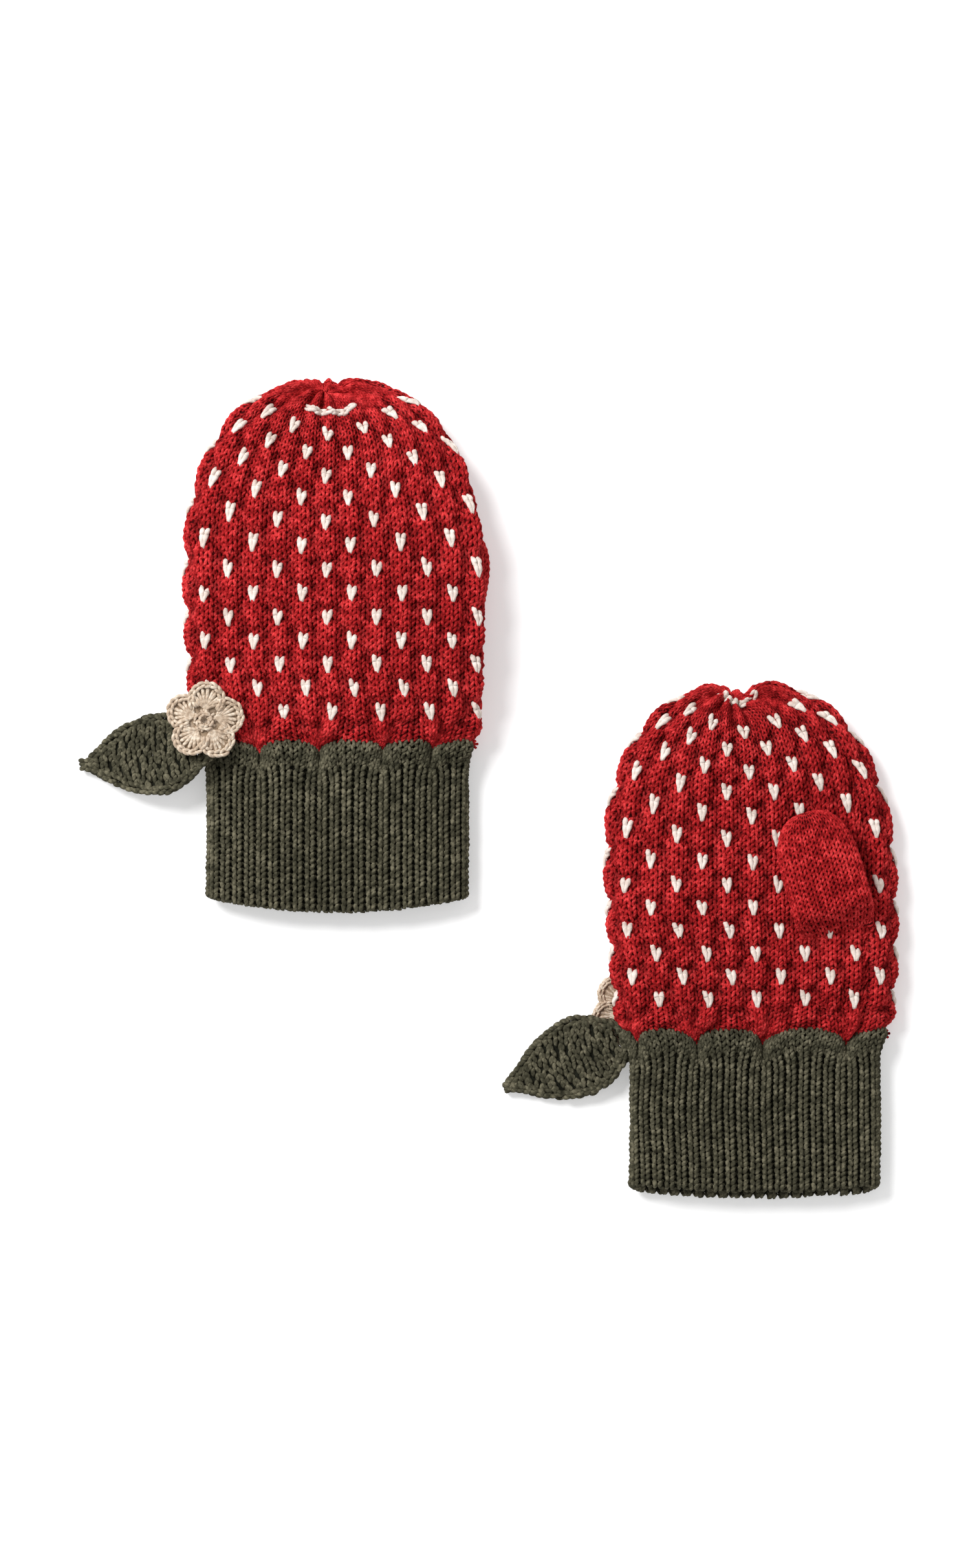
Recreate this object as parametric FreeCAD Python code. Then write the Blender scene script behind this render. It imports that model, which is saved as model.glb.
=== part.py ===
import FreeCAD, Part
import math
import os
from collections import namedtuple

# A pair of toddler's knitted mittens lying flat on a surface, in millimetres.
# The left mitten lies back up with its thumb underneath, the right one palm up
# with its thumb on top. +X runs to the wearer's thumbs, +Y to the fingertips
# and +Z up. Each mitten is first made in its own frame: x = 0 on its middle
# line, y = 0 where the cuff joins the hand, z = 0 on the surface under it.

# ---------------------------------------------------------------- both mittens
WALL = 2.4                   # thickness of the body and cuff fabric
HAND_HALF_THICKNESS = 6.5    # two layers of fabric and the air between them
CUFF_HALF_THICKNESS = 5.4
FLATTENED = 0.25             # how far the underside is pressed flat
SECTION_POWER = 3.2          # flat top and bottom with round edges
TIP_POWER = 2.3              # roundness of the fingertip outline
TIP_START = 0.45             # share of the hand's length where it starts to close
JOIN_TAPER = 0.06            # how much narrower the hand is at the cuff
JOIN_BLEND = 7.0             # length over which the hand's width becomes the cuff's

SECTION_POINTS = 36
EVEN_SECTIONS = 8            # sections below the closing fingertips
CLOSING_SECTIONS = 8
OUTER_TIP_SHARE = 0.995      # how much of the closing the last section reaches
INNER_TIP_SHARE = 0.94
OVER_ALL = 200.0             # size of a block that covers a whole mitten

SCALLOP_PITCH = 17.0         # five ribs of the cuff
SCALLOP_HEIGHT = 2.6
SCALLOPS = 7
KNIT_GAP = 0.1               # space between pieces of one mitten

THUMB_HALF_WIDTH = 11.2
THUMB_THICKNESS = 7.4
THUMB_WALL = 1.5
THUMB_BASE = -8.5            # from the pivot, along the thumb
THUMB_TIP = 25.3
THUMB_CLOSING = 8.0          # where the thumb starts to close
THUMB_SECTION_POINTS = 24
THUMB_SECTION_POWER = 0.75
THUMB_TIP_POWER = 2.5        # roundness of its outline at the tip
THUMB_TIP_TURNS = (0, 20, 40, 55, 68, 80)
THUMB_BASE_WIDTH = 0.7       # share of the full width at its base
THUMB_GAP = 0.3              # free space between thumb and palm
OPENING_RADIUS = 6.0         # the hole that joins the hand's space and the thumb's

HEART_PITCH_X = 14.4         # six stitches
HEART_PITCH_Y = 6.85         # four rows
HEART_WIDTH = 3.5
HEART_HEIGHT = 4.8
HEART_PROUD = 0.5
HEART_FIRST_Y = 7.0
HEART_LAST_SHARE = 0.9       # share of the hand's length that the hearts reach

LEAF_LENGTH = 38.5
LEAF_THICKNESS = 2.2
LEAF_HALF_OUTLINE = [(-1.8, 2.6), (2.5, 6.2), (8.0, 10.0), (15.0, 11.7), (22.0, 10.2), (30.0, 5.6)]
LEAF_BASE = -2.6
LEAF_EYE_RADIUS = 1.0
LEAF_TIP_CLEAR = 0.3         # between the leaf's tip and the surface

PETALS = 5
PETAL_RADIUS = 4.7
PETAL_PLACE = 6.0            # from the flower's centre to a petal's centre
PETAL_THICKNESS = 2.0
FLOWER_GAP = 1.0             # between the leaf and the flower on it
TACK_PLACES = [(6.0, -1.0), (6.0, 2.5), (3.5, 5.0)]   # from the flower's centre
FLOWER_CORE_RADIUS = 4.6
FLOWER_RING_RADIUS = 2.3
FLOWER_RING_YARN = 0.7
FLOWER_TURN = 13.0           # degrees from +X to the first petal
FLOWER_Y = 7.4

YARN_RADIUS = 0.45
SEAM_YARN_RADIUS = 0.5
SEAM_GAP = 0.6               # the ridge stands clear of the steep edge under it
SEAM_END = 0.8               # share of the hand's length where the seam runs out
YARN_END_LENGTH = 2.6

Ramp = namedtuple("Ramp", "zero full")
Rise = namedtuple("Rise", "x low_y high_y")
Mitten = namedtuple(
    "Mitten",
    "name place hand_length hand_half_width cuff_length cuff_half_width hem_sag tip_shift"
    " lift underside_rise top_rise palm_up seam_inset thumb_x thumb_y thumb_lean"
    " flower_x leaf_x leaf_turn leaf_height",
)

LEFT = Mitten(
    name="left",
    place=FreeCAD.Vector(-43.49, 10.9, 0),
    hand_length=105.2,
    hand_half_width=42.0,
    cuff_length=46.4,
    cuff_half_width=37.8,
    hem_sag=4.0,
    tip_shift=-1.2,
    lift=8.0,                          # the hand rises over the thumb under it
    underside_rise=Rise(Ramp(-12.0, 9.0), Ramp(6.0, 27.0), Ramp(92.0, 69.0)),
    top_rise=Rise(Ramp(-36.0, 26.0), Ramp(-22.0, 40.0), Ramp(110.0, 56.0)),
    palm_up=False,
    seam_inset=2.0,
    thumb_x=30.5,
    thumb_y=38.6,
    thumb_lean=-10.0,                  # degrees, turned from +Y about +Z
    flower_x=-37.2,
    leaf_x=-37.0,
    leaf_turn=188.2,                   # degrees from +X to the leaf's tip
    leaf_height=12.5,                  # of the leaf's middle at its sewn end
)
RIGHT = Mitten(
    name="right",
    place=FreeCAD.Vector(75.41, -71.5, 0),
    hand_length=100.8,
    hand_half_width=40.4,
    cuff_length=45.6,
    cuff_half_width=36.2,
    hem_sag=2.0,
    tip_shift=-2.6,
    lift=5.2,                          # the cuff's corner rises over flower and leaf
    underside_rise=Rise(Ramp(-6.0, -27.0), Ramp(-22.0, -6.0), Ramp(38.0, 20.0)),
    top_rise=Rise(Ramp(8.0, -30.0), Ramp(-42.0, -4.0), Ramp(62.0, 18.0)),
    palm_up=True,
    seam_inset=7.5,
    thumb_x=21.2,
    thumb_y=38.6,
    thumb_lean=13.5,
    flower_x=-35.5,
    leaf_x=-36.4,
    leaf_turn=203.1,
    leaf_height=5.2,
)


# ------------------------------------------------------------- the knitted tube
def vec(x, y, z):
    return FreeCAD.Vector(x, y, z)


def smooth_ramp(value, ramp):
    share = (value - ramp.zero) / (ramp.full - ramp.zero)
    share = min(max(share, 0.0), 1.0)
    return share * share * (3.0 - 2.0 * share)


def closing(mitten, y, power):
    """1 along the hand, falling to 0 at the fingertips."""
    share = (y / mitten.hand_length - TIP_START) / (1.0 - TIP_START)
    share = min(max(share, 0.0), 1.0)
    return (1.0 - share ** power) ** (1.0 / TIP_POWER)


def half_width(mitten, y):
    below = max(0.0, 1.0 - y / (TIP_START * mitten.hand_length))
    hand = mitten.hand_half_width * (1.0 - JOIN_TAPER * below ** 2)
    hand = hand * closing(mitten, y, TIP_POWER)
    is_hand = smooth_ramp(y, Ramp(-JOIN_BLEND / 2, JOIN_BLEND / 2))
    return mitten.cuff_half_width + (hand - mitten.cuff_half_width) * is_hand


def half_thickness(mitten, y):
    is_hand = smooth_ramp(y, Ramp(-JOIN_BLEND, 3 * JOIN_BLEND))
    flat = CUFF_HALF_THICKNESS + (HAND_HALF_THICKNESS - CUFF_HALF_THICKNESS) * is_hand
    return flat * closing(mitten, y, 2 * TIP_POWER)


def middle_x(mitten, y):
    return mitten.tip_shift * smooth_ramp(y, Ramp(0.0, mitten.hand_length))


def rise_share(rise, x, y):
    return smooth_ramp(x, rise.x) * smooth_ramp(y, rise.low_y) * smooth_ramp(y, rise.high_y)


def middle_z(mitten, x, y, level=0.0):
    """Height of the middle of the fabric layers; level is -1 at the underside, 1 on top.

    The underside rises steeply over what lies under it, and the top is draped gently.
    """
    is_hand = smooth_ramp(y, Ramp(-JOIN_BLEND, 3 * JOIN_BLEND))
    resting = CUFF_HALF_THICKNESS + (HAND_HALF_THICKNESS - CUFF_HALF_THICKNESS) * is_hand
    under = rise_share(mitten.underside_rise, x, y)
    over = rise_share(mitten.top_rise, x, y)
    share = under + (over - under) * smooth_ramp(level, Ramp(-1.0, 1.0))
    return resting - FLATTENED + mitten.lift * share


def face_z(mitten, x, y, up):
    """Height of the outer face above (up = 1) or below (up = -1) the point x, y."""
    across = min(abs(x - middle_x(mitten, y)) / half_width(mitten, y), 1.0)
    crown = (1.0 - across ** SECTION_POWER) ** (1.0 / SECTION_POWER)
    return middle_z(mitten, x, y, up * crown) + up * half_thickness(mitten, y) * crown


def section(mitten, y, inset):
    """One closed section of the tube at y, drawn in from the outer face by inset."""
    wide = half_width(mitten, y) - inset
    thick = half_thickness(mitten, y) - inset
    points = []
    for step in range(SECTION_POINTS):
        angle = 2.0 * math.pi * step / SECTION_POINTS
        cos = math.cos(angle)
        sin = math.sin(angle)
        x = middle_x(mitten, y) + wide * math.copysign(abs(cos) ** (2.0 / SECTION_POWER), cos)
        level = math.copysign(abs(sin) ** (2.0 / SECTION_POWER), sin)
        points.append(vec(x, y, middle_z(mitten, x, y, level) + thick * level))
    curve = Part.BSplineCurve()
    curve.interpolate(Points=points, PeriodicFlag=True)
    return Part.Wire(curve.toShape())


def stations(mitten, start, end_share):
    """Places of the sections: even along the hand, closer together at the tip."""
    closing_from = TIP_START * mitten.hand_length
    even_length = closing_from - start
    places = [start + even_length * step / EVEN_SECTIONS for step in range(EVEN_SECTIONS)]
    closing_length = mitten.hand_length - closing_from
    last = math.asin(end_share)
    for step in range(CLOSING_SECTIONS + 1):
        places.append(closing_from + closing_length * math.sin(last * step / CLOSING_SECTIONS))
    return places


def tube(mitten):
    """The whole knitted bag, from past the hem to the closed fingertips."""
    start = -mitten.cuff_length - WALL
    outer = [section(mitten, y, 0.0) for y in stations(mitten, start, OUTER_TIP_SHARE)]
    inner_places = stations(mitten, start - WALL, INNER_TIP_SHARE)
    inner = [section(mitten, y, WALL) for y in inner_places]
    bag = Part.makeLoft(outer, True).cut(Part.makeLoft(inner, True))
    below = Part.makeBox(OVER_ALL, 2 * OVER_ALL, OVER_ALL, vec(-OVER_ALL / 2, -OVER_ALL, -OVER_ALL))
    return bag.cut(below)


def cuff_region(mitten, above):
    """A block over the cuff: an arched hem below, scallops above."""
    reach = SCALLOPS * SCALLOP_PITCH / 2
    hem_y = -mitten.cuff_length
    side_y = hem_y + mitten.hem_sag * (reach / mitten.cuff_half_width) ** 2
    low_left = vec(-reach, side_y, -1)
    low_right = vec(reach, side_y, -1)
    edges = [Part.Arc(low_left, vec(0, hem_y, -1), low_right).toShape()]
    start = low_right
    dip = -SCALLOP_HEIGHT / 2 + above
    for step in range(SCALLOPS + 1):
        end = vec(reach - SCALLOP_PITCH * step, dip, -1)
        if step == 0:
            edges.append(Part.LineSegment(start, end).toShape())
        else:
            top = vec((start.x + end.x) / 2, dip + SCALLOP_HEIGHT, -1)
            edges.append(Part.Arc(start, top, end).toShape())
        start = end
    edges.append(Part.LineSegment(start, low_left).toShape())
    return Part.Face(Part.Wire(edges)).extrude(vec(0, 0, OVER_ALL))


def thumb_opening(mitten):
    """A cylinder through the palm's wall only, at the thumb's pivot."""
    z = middle_z(mitten, mitten.thumb_x, mitten.thumb_y)
    centre = vec(mitten.thumb_x, mitten.thumb_y, z)
    direction = vec(0, 0, 1 if mitten.palm_up else -1)
    return Part.makeCylinder(OPENING_RADIUS, 2 * mitten.lift + HAND_HALF_THICKNESS, centre, direction)


def hand(mitten, bag):
    cut = bag.cut(cuff_region(mitten, KNIT_GAP)).cut(thumb_opening(mitten))
    corner = vec(-OVER_ALL / 2, -SCALLOP_HEIGHT, -1)
    return cut.common(Part.makeBox(OVER_ALL, OVER_ALL, OVER_ALL, corner))


def cuff(mitten, bag):
    return bag.common(cuff_region(mitten, 0.0))


# ---------------------------------------------------------------------- thumb
def thumb_half_width(s):
    share = max(0.0, (s - THUMB_CLOSING) / (THUMB_TIP - THUMB_CLOSING))
    round_tip = (1.0 - share ** THUMB_TIP_POWER) ** (1.0 / THUMB_TIP_POWER)
    is_full = smooth_ramp(s, Ramp(THUMB_BASE - 6.0, THUMB_BASE + 4.0))
    base = THUMB_BASE_WIDTH + (1.0 - THUMB_BASE_WIDTH) * is_full
    return THUMB_HALF_WIDTH * round_tip * base


def thumb_section(s, inset):
    wide = thumb_half_width(s) - inset
    full = THUMB_THICKNESS / 2
    near_tip = max(0.0, (s - THUMB_CLOSING) / (THUMB_TIP - THUMB_CLOSING))
    thick = full * (1.0 - near_tip ** (2 * THUMB_TIP_POWER)) ** (1.0 / THUMB_TIP_POWER) - inset
    points = []
    for step in range(THUMB_SECTION_POINTS):
        angle = 2.0 * math.pi * step / THUMB_SECTION_POINTS
        cos = math.cos(angle)
        sin = math.sin(angle)
        across = wide * math.copysign(abs(cos) ** THUMB_SECTION_POWER, cos)
        z = full + thick * math.copysign(abs(sin) ** THUMB_SECTION_POWER, sin)
        points.append(vec(across, s, z))
    curve = Part.BSplineCurve()
    curve.interpolate(Points=points, PeriodicFlag=True)
    return Part.Wire(curve.toShape())


def thumb(mitten):
    """A flattened tube, closed at its tip, open to the hand at its pivot."""
    length = THUMB_TIP - THUMB_CLOSING
    straight = [THUMB_BASE, THUMB_BASE + 3.0, 0.0]
    turns = [math.radians(angle) for angle in THUMB_TIP_TURNS]
    closing_places = [THUMB_CLOSING + length * math.sin(turn) for turn in turns]
    outer = [thumb_section(s, 0.0) for s in straight + closing_places]
    inner_straight = [THUMB_BASE + THUMB_WALL, 0.0]
    inner = [thumb_section(s, THUMB_WALL) for s in inner_straight + closing_places[:-1]]
    body = Part.makeLoft(outer, True).cut(Part.makeLoft(inner, True))
    hole_z = -1.0 if mitten.palm_up else THUMB_THICKNESS / 2
    hole = Part.makeCylinder(OPENING_RADIUS, THUMB_THICKNESS / 2 + 1.0, vec(0, 0, hole_z))
    body = body.cut(hole)
    body.rotate(vec(0, 0, 0), vec(0, 0, 1), mitten.thumb_lean)
    body.translate(vec(mitten.thumb_x, mitten.thumb_y, thumb_floor(mitten)))
    return body


def thumb_floor(mitten):
    """Height of the thumb's underside: on the palm, or on the surface."""
    if mitten.palm_up:
        return 2 * HAND_HALF_THICKNESS - FLATTENED + THUMB_GAP
    return 0.0


def thumb_pickup_stitches(mitten):
    """The round of stitches picked up at the edge of the thumb opening."""
    up = 1 if mitten.palm_up else -1
    z = face_z(mitten, mitten.thumb_x, mitten.thumb_y, up) - up * WALL / 2
    ring_radius = OPENING_RADIUS - YARN_RADIUS - KNIT_GAP
    return Part.makeTorus(ring_radius, YARN_RADIUS, vec(mitten.thumb_x, mitten.thumb_y, z))


# ---------------------------------------------------------- yarn and stitches
def yarn(points, radius):
    """A round yarn lofted through the points."""
    rings = []
    for index, point in enumerate(points):
        before = points[max(index - 1, 0)]
        after = points[min(index + 1, len(points) - 1)]
        circle = Part.makeCircle(radius, point, after.sub(before))
        rings.append(Part.Wire(circle))
    return Part.makeLoft(rings, True)


def side_seam(mitten):
    """The sewn ridge along the thumb side, from the hem to near the fingertips."""
    low = -mitten.cuff_length + mitten.hem_sag + SEAM_YARN_RADIUS
    high = SEAM_END * mitten.hand_length
    steps = 22
    points = []
    for step in range(steps + 1):
        y = low + (high - low) * step / steps
        x = middle_x(mitten, y) + half_width(mitten, y) - mitten.seam_inset
        palm = 1 if mitten.palm_up else -1
        z = face_z(mitten, x, y, palm) + palm * (SEAM_YARN_RADIUS + SEAM_GAP)
        points.append(vec(x, y, z))
    return yarn(points, SEAM_YARN_RADIUS)


def seam_yarn_end(mitten):
    """The short end of yarn left where the seam crosses the cuff's edge."""
    edge = half_width(mitten, 0) + YARN_RADIUS + 2 * SEAM_YARN_RADIUS + 3 * KNIT_GAP
    z = middle_z(mitten, edge, 0)
    bend = vec(edge + YARN_END_LENGTH / 2, YARN_RADIUS, z)
    end = vec(edge + YARN_END_LENGTH, 2.5 * YARN_RADIUS, z)
    return yarn([vec(edge, -YARN_RADIUS, z), bend, end], YARN_RADIUS)


def fingertip_closing(mitten):
    """The knot of the yarn that draws the last stitches together."""
    y = mitten.hand_length + YARN_RADIUS + KNIT_GAP
    knot = Part.makeTorus(3 * YARN_RADIUS, YARN_RADIUS, vec(0, 0, 0), vec(0, 1, 0))
    knot.translate(vec(mitten.tip_shift, y, middle_z(mitten, 0, mitten.hand_length)))
    return knot


def heart():
    """One cream stitch: a V of two fat legs, its point at the origin."""
    half = HEART_WIDTH / 2
    outline = [
        (0, 0), (half, 0.72 * HEART_HEIGHT), (0.62 * half, 0.96 * HEART_HEIGHT),
        (0.12 * half, 0.5 * HEART_HEIGHT), (-0.55 * half, HEART_HEIGHT), (-half, 0.8 * HEART_HEIGHT),
    ]
    corners = [vec(x, y, 0) for x, y in outline + outline[:1]]
    return Part.Face(Part.makePolygon(corners)).extrude(vec(0, 0, HEART_PROUD))


def heart_stitches(mitten):
    """The cream stitches of the face that lies up, on a diamond lattice."""
    rows = int(HEART_LAST_SHARE * mitten.hand_length / HEART_PITCH_Y)
    solids = []
    for row in range(rows):
        y = HEART_FIRST_Y + HEART_PITCH_Y * row
        for column in range(-3, 4):
            x = (column + 0.5 * (row % 2)) * HEART_PITCH_X
            reach = abs(x - middle_x(mitten, y)) + HEART_WIDTH
            if reach < 0.93 * half_width(mitten, y) and not covered(mitten, x, y):
                ends = [face_z(mitten, x, y + rise, 1) for rise in (0, HEART_HEIGHT)]
                stitch = heart()
                stitch.rotate(vec(0, 0, 0), vec(1, 0, 0), slope(ends[1] - ends[0], HEART_HEIGHT))
                sides = [face_z(mitten, x + half, y, 1) for half in (-HEART_WIDTH / 2, HEART_WIDTH / 2)]
                stitch.rotate(vec(0, 0, 0), vec(0, 1, 0), -slope(sides[1] - sides[0], HEART_WIDTH))
                stitch.translate(vec(x, y, ends[0] + 2 * KNIT_GAP))
                solids.append(stitch)
    return Part.makeCompound(solids)


def slope(rise, run):
    return math.degrees(math.atan2(rise, run))


def covered(mitten, x, y):
    """True where the flower or the swinging thumb lies on the face."""
    flower_reach = PETAL_PLACE + PETAL_RADIUS + 2.0
    clear = HEART_HEIGHT / 2
    if not mitten.palm_up:
        return math.hypot(x - mitten.flower_x, y + clear - FLOWER_Y) < flower_reach
    on_seam = abs(x - half_width(mitten, y) + mitten.seam_inset) < HEART_WIDTH
    thumb_reach = THUMB_TIP + 2.0
    on_thumb = math.hypot(x - mitten.thumb_x, y + clear - mitten.thumb_y) < thumb_reach
    above_base = y + HEART_HEIGHT > mitten.thumb_y + THUMB_BASE - 3.0
    return on_seam or (on_thumb and above_base)


# ------------------------------------------------------------ flower and leaf
def petal_disc(radius, thickness):
    """A flat disc with a half-round rim."""
    rim = thickness / 2
    flat = radius - rim
    edges = [
        Part.LineSegment(vec(0, 0, 0), vec(flat, 0, 0)).toShape(),
        Part.Arc(vec(flat, 0, 0), vec(radius, 0, rim), vec(flat, 0, thickness)).toShape(),
        Part.LineSegment(vec(flat, 0, thickness), vec(0, 0, thickness)).toShape(),
        Part.LineSegment(vec(0, 0, thickness), vec(0, 0, 0)).toShape(),
    ]
    return Part.Face(Part.Wire(edges)).revolve(vec(0, 0, 0), vec(0, 0, 1), 360)


def flower(mitten):
    """Five crocheted petals round a core with a raised ring."""
    pieces = []
    for index in range(PETALS):
        turn = math.radians(FLOWER_TURN + 360.0 * index / PETALS)
        petal = petal_disc(PETAL_RADIUS, PETAL_THICKNESS)
        petal.translate(vec(PETAL_PLACE * math.cos(turn), PETAL_PLACE * math.sin(turn), 0))
        pieces.append(petal)
    ring = Part.makeTorus(FLOWER_RING_RADIUS, FLOWER_RING_YARN, vec(0, 0, PETAL_THICKNESS))
    core = petal_disc(FLOWER_CORE_RADIUS, PETAL_THICKNESS)
    bloom = core.multiFuse(pieces + [ring]).removeSplitter()
    if mitten.palm_up:
        bloom.rotate(vec(0, 0, 0), vec(1, 0, 0), 180)
    bloom.translate(vec(mitten.flower_x, FLOWER_Y, flower_floor(mitten)))
    return bloom


def flower_floor(mitten):
    """Height of the flower's back: on top of the leaf, or facing down under it."""
    if mitten.palm_up:
        return PETAL_THICKNESS + FLOWER_RING_YARN
    return mitten.leaf_height + LEAF_THICKNESS / 2 + FLOWER_GAP


def leaf(mitten):
    """A pointed leaf that slopes down from its sewn end to the surface."""
    upper = [vec(LEAF_BASE, 0, 0)]
    upper += [vec(s, w, 0) for s, w in LEAF_HALF_OUTLINE]
    upper.append(vec(LEAF_LENGTH, 0, 0))
    lower = [vec(point.x, -point.y, 0) for point in reversed(upper)]
    curves = []
    for side in (upper, lower):
        curve = Part.BSplineCurve()
        curve.interpolate(side)
        curves.append(curve.toShape())
    blade = Part.Face(Part.Wire(curves)).extrude(vec(0, 0, LEAF_THICKNESS))
    eye = Part.makeCylinder(LEAF_EYE_RADIUS, 3 * LEAF_THICKNESS, vec(0, 0, -LEAF_THICKNESS))
    blade = blade.cut(eye)
    blade.translate(vec(0, 0, -LEAF_THICKNESS / 2))
    drop = mitten.leaf_height - LEAF_THICKNESS / 2 - LEAF_TIP_CLEAR
    blade.rotate(vec(0, 0, 0), vec(0, 1, 0), math.degrees(math.asin(drop / LEAF_LENGTH)))
    blade.rotate(vec(0, 0, 0), vec(0, 0, 1), mitten.leaf_turn)
    blade.translate(vec(mitten.leaf_x, 0, mitten.leaf_height))
    return blade


def post(mitten, x, y):
    """A stitch of thread that stands between the flower and the mitten's face."""
    if mitten.palm_up:
        low = PETAL_THICKNESS + FLOWER_RING_YARN + KNIT_GAP
        high = face_z(mitten, x, y, -1) - 2 * KNIT_GAP
    else:
        low = face_z(mitten, x, y, 1) + 2 * KNIT_GAP
        high = flower_floor(mitten) - KNIT_GAP
    return Part.makeCylinder(YARN_RADIUS, high - low, vec(x, y, low))


def leaf_tack_stitch(mitten):
    """The stitch through the leaf's eye, on which the leaf swings."""
    return post(mitten, mitten.leaf_x, 0.0)


def flower_tack_stitches(mitten):
    """The stitches that hold the flower's inner petals to the hand."""
    stitches = [post(mitten, mitten.flower_x + x, FLOWER_Y + y) for x, y in TACK_PLACES]
    return Part.makeCompound(stitches)


# ------------------------------------------------------------------- assembly
def mitten_parts(mitten):
    bag = tube(mitten)
    return {
        "hand": hand(mitten, bag),
        "cuff": cuff(mitten, bag),
        "thumb": thumb(mitten),
        "thumb_pickup_stitches": thumb_pickup_stitches(mitten),
        "heart_stitches": heart_stitches(mitten),
        "side_seam": side_seam(mitten),
        "seam_yarn_end": seam_yarn_end(mitten),
        "fingertip_closing": fingertip_closing(mitten),
        "flower": flower(mitten),
        "flower_tack_stitches": flower_tack_stitches(mitten),
        "leaf": leaf(mitten),
        "leaf_tack_stitch": leaf_tack_stitch(mitten),
    }


def pair():
    """Every sub-part of both mittens, with the origin under the pair's middle."""
    nodes = {}
    for mitten in (LEFT, RIGHT):
        for name, shape in mitten_parts(mitten).items():
            shape.translate(mitten.place)
            nodes[mitten.name + "_" + name] = shape
    return nodes


if __name__ == "__main__":
    os.makedirs("parts", exist_ok=True)
    for node, solid in pair().items():
        solid.exportStep("parts/" + node + ".step")
        print(node, solid.isValid(), len(solid.Solids), round(solid.Volume, 1))
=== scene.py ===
"""A pair of toddler's knitted mittens lying flat, with every stitch as a loop of yarn.

Each mitten's fabric is laid on its CAD surface. Lengths are in millimetres until a mesh is
made. A fabric coordinate is (wale, row): wales count round the tube from the side seam, over
the face that lies up, and rows count up from the cuff's join.
"""
import math
from types import SimpleNamespace

import bpy
import numpy as np
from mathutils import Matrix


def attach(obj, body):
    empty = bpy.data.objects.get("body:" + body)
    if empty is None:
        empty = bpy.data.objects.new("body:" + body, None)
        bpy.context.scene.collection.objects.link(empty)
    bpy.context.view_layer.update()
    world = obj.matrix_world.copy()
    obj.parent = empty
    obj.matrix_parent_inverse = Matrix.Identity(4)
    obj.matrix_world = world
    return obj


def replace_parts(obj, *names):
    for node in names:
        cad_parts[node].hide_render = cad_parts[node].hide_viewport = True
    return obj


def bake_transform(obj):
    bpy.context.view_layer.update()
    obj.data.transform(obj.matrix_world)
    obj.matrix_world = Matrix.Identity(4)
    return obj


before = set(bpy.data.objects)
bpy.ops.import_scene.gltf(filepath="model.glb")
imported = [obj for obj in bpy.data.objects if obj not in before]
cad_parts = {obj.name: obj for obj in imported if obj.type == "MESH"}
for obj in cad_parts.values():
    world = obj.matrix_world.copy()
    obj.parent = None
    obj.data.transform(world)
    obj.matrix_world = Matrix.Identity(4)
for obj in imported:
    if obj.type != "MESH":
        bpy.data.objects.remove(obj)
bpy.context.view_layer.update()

MM = 0.001
TAU = 2.0 * math.pi

CAMERA_DISTANCE = 1.6        # metres, as are the next two
CAMERA_SEEN = 0.4458         # height of the floor in the picture
CAMERA_TARGET = 0.008        # height of the level that is seen at that size
SENSOR = 36.0

# ---------------- the shape of the CAD solids
HAND_HALF_THICKNESS = 6.5
CUFF_HALF_THICKNESS = 5.4
FLATTENED = 0.25
SECTION_POWER = 3.2
TIP_POWER = 2.3
TIP_START = 0.45
JOIN_TAPER = 0.06
JOIN_BLEND = 7.0
THUMB_THICKNESS = 7.4
THUMB_BASE = -8.5
THUMB_CLOSING = 8.0
PALM_Z = 13.05

# ---------------- the knitting
BODY_YARN = 0.45             # radius of the yarn
BODY_SINK = 2.0              # middle of the fabric under the CAD surface
BUBBLE_HEIGHT = 2.9          # how far the fabric puffs out between the hearts
DENT_DEPTH = 1.2             # of the dark hollows beside each heart
HEART_RISE = 1.5             # how far each heart stands up from the valley round it
HEART_WALES = 6.0            # one repeat of the heart lattice
HEART_ROWS = 8.0
RIB_YARN = 0.69
RIB_ROW = 1.60
RIB_SINK = 1.75
STEPS = 12                   # points of the yarn in one stitch
MOST_TRIANGLES = 190000      # in one piece
PETAL_RADIUS = 4.9
PETAL_PLACE = 6.0
FLOWER_Y = 7.4
LEAF_THICKNESS = 2.2
LEAF_HALF_OUTLINE = [(-1.8, 2.6), (2.5, 6.2), (8.0, 10.0), (15.0, 11.7), (22.0, 10.2), (30.0, 5.6)]
THUMB_ROW = 1.55
THUMB_WALES = 24
THUMB_YARN = 0.41
THUMB_SUNK = 4.2             # how deep the thumb's base is in the palm
WALE = 2.3                   # width of a stitch that is not drawn in
GATHER_REACH = 34.0          # how far from the tip the gather's shift is felt
HOLLOW_SHADE = 0.60          # share of the colour taken away as painted shade in the deepest hollows
SIDES = 6                    # faces round a knitted yarn
FLOOR_CLEAR = 0.35           # yarn near the surface under it is pressed flat

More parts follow.
